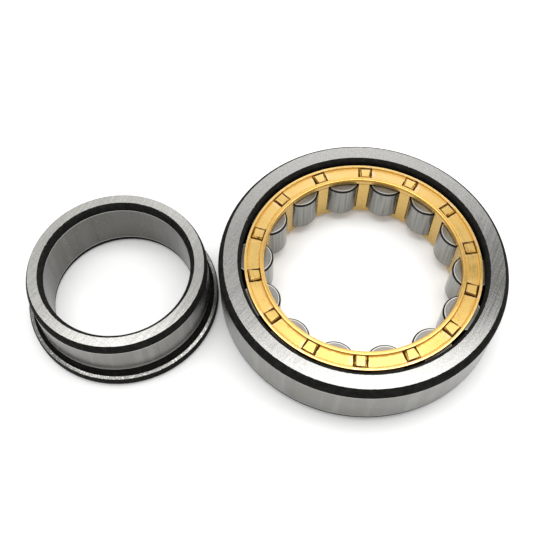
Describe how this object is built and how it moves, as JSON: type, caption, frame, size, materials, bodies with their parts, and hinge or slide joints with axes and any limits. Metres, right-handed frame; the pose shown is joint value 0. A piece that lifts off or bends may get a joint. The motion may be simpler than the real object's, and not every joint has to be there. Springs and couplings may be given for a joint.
{
  "type": "cylindrical roller bearing",
  "caption": "Cylindrical roller bearing taken apart: outer ring with brass cage and rollers, and a loose flanged inner ring standing beside it.",
  "frame": {"origin": "centre of the outer ring, on its axis and halfway through its width", "axes": "+Z along the bearing's axis, upwards as it lies; the loose inner ring stands on the -X side, flange down"},
  "size_m": [0.1346, 0.08, 0.018],
  "materials": {
    "outer_ring": "ground faces, blackened corners",
    "inner_ring": "ground faces, blackened corners",
    "cage": "turned and tumbled",
    "roller": "ground and polished"
  },
  "bodies": {
    "outer_ring": {"outer_ring": "outer_ring"},
    "inner_ring": {"inner_ring": "inner_ring"},
    "cage": {"cage_body": "cage", "cage_cover": "cage"},
    "roller_01": {"roller_01": "roller"},
    "roller_02": {"roller_02": "roller"},
    "roller_03": {"roller_03": "roller"},
    "roller_04": {"roller_04": "roller"},
    "roller_05": {"roller_05": "roller"},
    "roller_06": {"roller_06": "roller"},
    "roller_07": {"roller_07": "roller"},
    "roller_08": {"roller_08": "roller"},
    "roller_09": {"roller_09": "roller"},
    "roller_10": {"roller_10": "roller"},
    "roller_11": {"roller_11": "roller"},
    "roller_12": {"roller_12": "roller"},
    "roller_13": {"roller_13": "roller"},
    "roller_14": {"roller_14": "roller"}
  },
  "joints": [
    {"name": "cage_spin", "type": "hinge", "parent": "outer_ring", "child": "cage", "pos_m": [0, 0, 0], "axis": [0, 0, 1], "continuous": true},
    {"name": "inner_ring_spin", "type": "hinge", "parent": "outer_ring", "child": "inner_ring", "pos_m": [-0.0676, 0, 0], "axis": [0, 0, 1], "continuous": true},
    {"name": "roller_01_spin", "type": "hinge", "parent": "cage", "child": "roller_01", "pos_m": [0.02867, 0.00974, 0], "axis": [0, 0, 1], "continuous": true},
    {"name": "roller_02_spin", "type": "hinge", "parent": "cage", "child": "roller_02", "pos_m": [0.02161, 0.02121, 0], "axis": [0, 0, 1], "continuous": true},
    {"name": "roller_03_spin", "type": "hinge", "parent": "cage", "child": "roller_03", "pos_m": [0.01026, 0.02849, 0], "axis": [0, 0, 1], "continuous": true},
    {"name": "roller_04_spin", "type": "hinge", "parent": "cage", "child": "roller_04", "pos_m": [-0.00311, 0.03012, 0], "axis": [0, 0, 1], "continuous": true},
    {"name": "roller_05_spin", "type": "hinge", "parent": "cage", "child": "roller_05", "pos_m": [-0.01587, 0.02579, 0], "axis": [0, 0, 1], "continuous": true},
    {"name": "roller_06_spin", "type": "hinge", "parent": "cage", "child": "roller_06", "pos_m": [-0.02549, 0.01635, 0], "axis": [0, 0, 1], "continuous": true},
    {"name": "roller_07_spin", "type": "hinge", "parent": "cage", "child": "roller_07", "pos_m": [-0.03006, 0.00367, 0], "axis": [0, 0, 1], "continuous": true},
    {"name": "roller_08_spin", "type": "hinge", "parent": "cage", "child": "roller_08", "pos_m": [-0.02867, -0.00974, 0], "axis": [0, 0, 1], "continuous": true},
    {"name": "roller_09_spin", "type": "hinge", "parent": "cage", "child": "roller_09", "pos_m": [-0.02161, -0.02121, 0], "axis": [0, 0, 1], "continuous": true},
    {"name": "roller_10_spin", "type": "hinge", "parent": "cage", "child": "roller_10", "pos_m": [-0.01026, -0.02849, 0], "axis": [0, 0, 1], "continuous": true},
    {"name": "roller_11_spin", "type": "hinge", "parent": "cage", "child": "roller_11", "pos_m": [0.00311, -0.03012, 0], "axis": [0, 0, 1], "continuous": true},
    {"name": "roller_12_spin", "type": "hinge", "parent": "cage", "child": "roller_12", "pos_m": [0.01587, -0.02579, 0], "axis": [0, 0, 1], "continuous": true},
    {"name": "roller_13_spin", "type": "hinge", "parent": "cage", "child": "roller_13", "pos_m": [0.02549, -0.01635, 0], "axis": [0, 0, 1], "continuous": true},
    {"name": "roller_14_spin", "type": "hinge", "parent": "cage", "child": "roller_14", "pos_m": [0.03006, -0.00367, 0], "axis": [0, 0, 1], "continuous": true}
  ],
  "couplings": [
    {"joint": "roller_01_spin", "follows": "cage_spin", "ratio": -6.5109},
    {"joint": "roller_02_spin", "follows": "cage_spin", "ratio": -6.5109},
    {"joint": "roller_03_spin", "follows": "cage_spin", "ratio": -6.5109},
    {"joint": "roller_04_spin", "follows": "cage_spin", "ratio": -6.5109},
    {"joint": "roller_05_spin", "follows": "cage_spin", "ratio": -6.5109},
    {"joint": "roller_06_spin", "follows": "cage_spin", "ratio": -6.5109},
    {"joint": "roller_07_spin", "follows": "cage_spin", "ratio": -6.5109},
    {"joint": "roller_08_spin", "follows": "cage_spin", "ratio": -6.5109},
    {"joint": "roller_09_spin", "follows": "cage_spin", "ratio": -6.5109},
    {"joint": "roller_10_spin", "follows": "cage_spin", "ratio": -6.5109},
    {"joint": "roller_11_spin", "follows": "cage_spin", "ratio": -6.5109},
    {"joint": "roller_12_spin", "follows": "cage_spin", "ratio": -6.5109},
    {"joint": "roller_13_spin", "follows": "cage_spin", "ratio": -6.5109},
    {"joint": "roller_14_spin", "follows": "cage_spin", "ratio": -6.5109}
  ]
}
